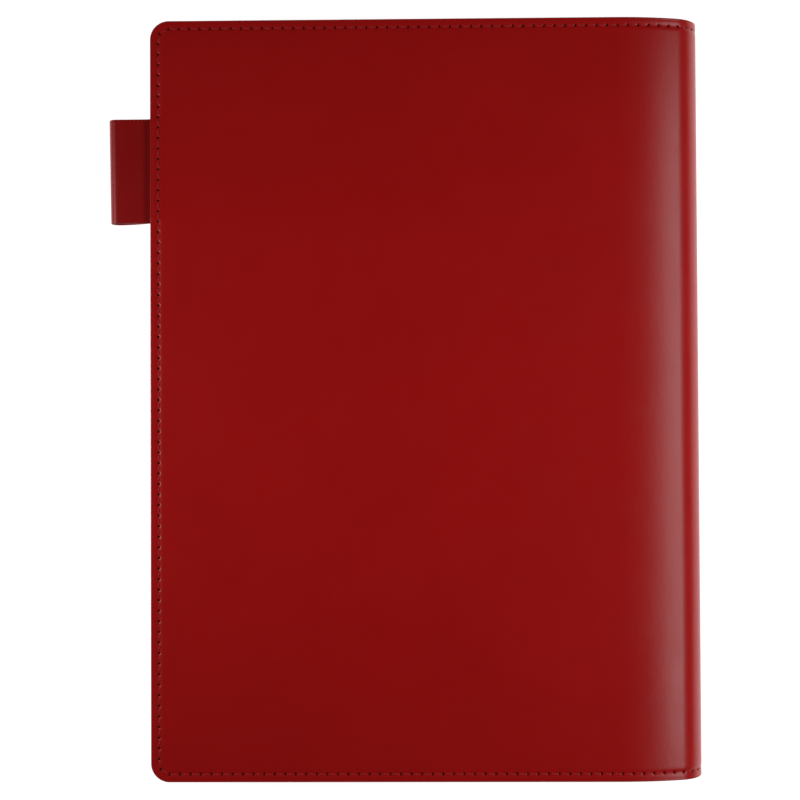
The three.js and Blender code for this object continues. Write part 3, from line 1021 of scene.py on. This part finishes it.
def pen_loop():
    """The strap, swept along its path."""
    path = strap_path()
    skin = Skin(back, back_chart)
    profile = strap_profile()
    rings = []
    travelled = 0.0
    for number, (along, depth) in enumerate(path):
        before = Vector(path[max(number - 1, 0)])
        after = Vector(path[min(number + 1, len(path) - 1)])
        travelled += (Vector((along, depth)) - before).length
        run = (after - before).normalized()
        out = Vector((run.y, -run.x))
        ring = []
        for across, rise in strap_ring(profile, strap_thickness(along)):
            reach = 1 + LOOP_SKEW / LOOP_REACH * across / (LOOP_WIDTH / 2)
            at = (along + out.x * rise, depth + out.y * rise)
            shifted = at[0] * reach if at[0] < 0 else at[0]
            vertex = skin.mesh.verts.new(back(shifted, LOOP_MIDDLE + across, at[1]))
            skin.charted[vertex] = (travelled, across + rise)
            ring.append(vertex)
        rings.append(ring)
    count = len(rings[0])
    painted = {number % count for side in (0, count // 2) for number in range(side - 2, side + 2)}
    for before, after in zip(rings, rings[1:]):
        for number in range(count):
            following = (number + 1) % count
            material = 1 if number in painted else 0
            skin.face([before[number], after[number], after[following], before[following]], material)
    skin.face(rings[0])
    skin.face(rings[-1])
    # The strap's leather is darkened with painted shade.
    piece = skin.finish("pen_loop_strap", [loop_leather_painted_shade, edge_paint])
    back(1.0, LOOP_MIDDLE, 1.75)
    back(-1.8, LOOP_MIDDLE, 1.75)
    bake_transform(piece)
    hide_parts("pen_loop", "pen_loop_tab")


pen_loop()

# ---------------------------------------------------------------- boards

for half in ("front", "back"):
    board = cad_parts[f"{half}_stiffener_board"]
    board.data.materials.clear()
    board.data.materials.append(grey_board)

# ---------------------------------------------------------------- floor, light, camera

FLOOR_SIZE = 3.0
FLOOR_GAP = 0.0002  # below the cover, in metres
FLOOR_GLOW = 0.85
WORLD_GLOW = 0.045
CAMERA_LENS = 71.64
CAMERA_PLACE = (-0.01336, -0.00982, 0.48729)
CAMERA_TURN = [math.radians(degrees) for degrees in (1.165, -1.391, -0.273)]


def add_floor():
    skin = bmesh.new()
    half = FLOOR_SIZE / 2
    corners = [(-half, -half), (half, -half), (half, half), (-half, half)]
    skin.faces.new([skin.verts.new((x, y, cad_box[0].z - FLOOR_GAP)) for x, y in corners])
    data = bpy.data.meshes.new("floor")
    skin.to_mesh(data)
    skin.free()
    floor = bpy.data.objects.new("floor", data)
    bpy.context.scene.collection.objects.link(floor)
    material, nodes, links, shader = new_material("floor_paper")
    shader.inputs["Base Color"].default_value = (0.9, 0.9, 0.9, 1)
    shader.inputs["Roughness"].default_value = 0.9
    shader.inputs["Emission Color"].default_value = (1, 1, 1, 1)
    shader.inputs["Emission Strength"].default_value = FLOOR_GLOW
    data.materials.append(material)


def add_softbox(name, turn, distance, across, width, length, power, spread):
    """A light above the cover, turn degrees from overhead towards +X, aimed down at it. It fans out
    over spread degrees. Places and sizes are in metres, power in watts."""
    lamp = bpy.data.lights.new(name, "AREA")
    lamp.shape = "RECTANGLE"
    lamp.size = width
    lamp.size_y = length
    lamp.energy = power
    lamp.spread = math.radians(spread)
    softbox = bpy.data.objects.new(name, lamp)
    bpy.context.scene.collection.objects.link(softbox)
    angle = math.radians(turn)
    softbox.location = Vector((math.sin(angle) * distance, across, math.cos(angle) * distance))
    softbox.rotation_euler = (0, angle, 0)


def add_camera():
    camera = bpy.data.cameras.new("camera")
    camera.lens = CAMERA_LENS
    camera.sensor_width = 36
    view = bpy.data.objects.new("camera", camera)
    bpy.context.scene.collection.objects.link(view)
    view.location = CAMERA_PLACE
    view.rotation_euler = CAMERA_TURN
    bpy.context.scene.camera = view


def add_world():
    world = bpy.data.worlds.new("studio")
    world.use_nodes = True
    background = world.node_tree.nodes["Background"]
    background.inputs["Color"].default_value = (1, 1, 1, 1)
    background.inputs["Strength"].default_value = WORLD_GLOW
    bpy.context.scene.world = world


add_floor()
add_softbox("softbox_right", turn=46, distance=0.36, across=-0.015,
            width=0.1, length=0.35, power=0.21, spread=120)
add_softbox("softbox_left", turn=-60, distance=0.42, across=0,
            width=0.135, length=0.17, power=0.105, spread=75)
add_camera()
add_world()
bpy.context.scene.view_settings.view_transform = "Standard"
